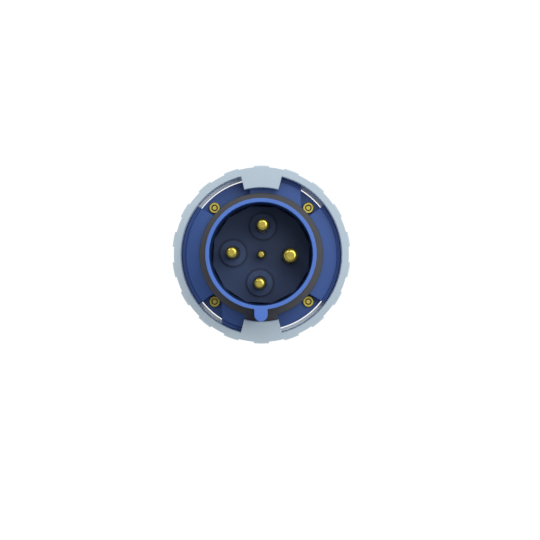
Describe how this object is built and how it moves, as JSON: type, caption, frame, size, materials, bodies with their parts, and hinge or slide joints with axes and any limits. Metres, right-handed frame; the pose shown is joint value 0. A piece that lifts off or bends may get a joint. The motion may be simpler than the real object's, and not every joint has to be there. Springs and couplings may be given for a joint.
{
  "type": "industrial pin and sleeve plug",
  "caption": "Watertight round power plug with brass pins in a keyed shroud, a turning bayonet ring, a tapered handle and a cable gland nut.",
  "frame": {"origin": "middle of the gland nut's rear face, on the plug's axis", "axes": "+Z along the axis towards the plug's face, the key rib at -Y, +X to the earth pin's side"},
  "size_m": [0.1182, 0.1186, 0.24],
  "materials": {
    "blue_moulding": "moulded, satin",
    "grey_moulding": "moulded, fine texture",
    "dark_insulator": "moulded, satin",
    "seal_rubber": "matt",
    "turned_brass": "turned",
    "plated_steel": "zinc plated",
    "black_nylon": "moulded"
  },
  "bodies": {
    "housing": {"front_housing": "blue_moulding", "rear_housing": "blue_moulding", "contact_carrier": "dark_insulator", "pin_retainer": "dark_insulator", "face_gasket": "seal_rubber", "housing_gasket": "seal_rubber", "carrier_seal": "seal_rubber", "gland_grommet": "seal_rubber", "pin_seal_1": "seal_rubber", "pin_seal_2": "seal_rubber", "pin_seal_3": "seal_rubber", "pin_seal_4": "seal_rubber", "pin_seal_5": "seal_rubber", "phase_pin_1": "turned_brass", "phase_pin_2": "turned_brass", "phase_pin_3": "turned_brass", "earth_pin": "turned_brass", "pilot_pin": "turned_brass", "cover_screw_1": "turned_brass", "cover_screw_2": "turned_brass", "cover_screw_3": "turned_brass", "cover_screw_4": "turned_brass", "retainer_screw_1": "plated_steel", "retainer_screw_2": "plated_steel", "retainer_screw_3": "plated_steel", "retainer_screw_4": "plated_steel", "phase_terminal_screw_1": "plated_steel", "phase_terminal_screw_2": "plated_steel", "phase_terminal_screw_3": "plated_steel", "earth_terminal_screw": "plated_steel", "pilot_terminal_screw": "plated_steel"},
    "ring": {"locking_ring": "grey_moulding"},
    "cage": {"thrust_washer": "black_nylon", "clamping_cage": "black_nylon"},
    "nut": {"gland_nut": "grey_moulding"}
  },
  "joints": [
    {"name": "ring_turn", "type": "hinge", "parent": "housing", "child": "ring", "pos_m": [0, 0, 0.17], "axis": [0, 0, 1], "range_deg": [0, 37]},
    {"name": "cage_travel", "type": "slide", "parent": "housing", "child": "cage", "axis": [0, 0, -1], "range_m": [0, 0.006]},
    {"name": "nut_turn", "type": "hinge", "parent": "cage", "child": "nut", "pos_m": [0, 0, 0.02], "axis": [0, 0, -1], "range_deg": [0, 720]}
  ],
  "couplings": [
    {"joint": "cage_travel", "follows": "nut_turn", "m_per_rad": 0.00047746}
  ]
}
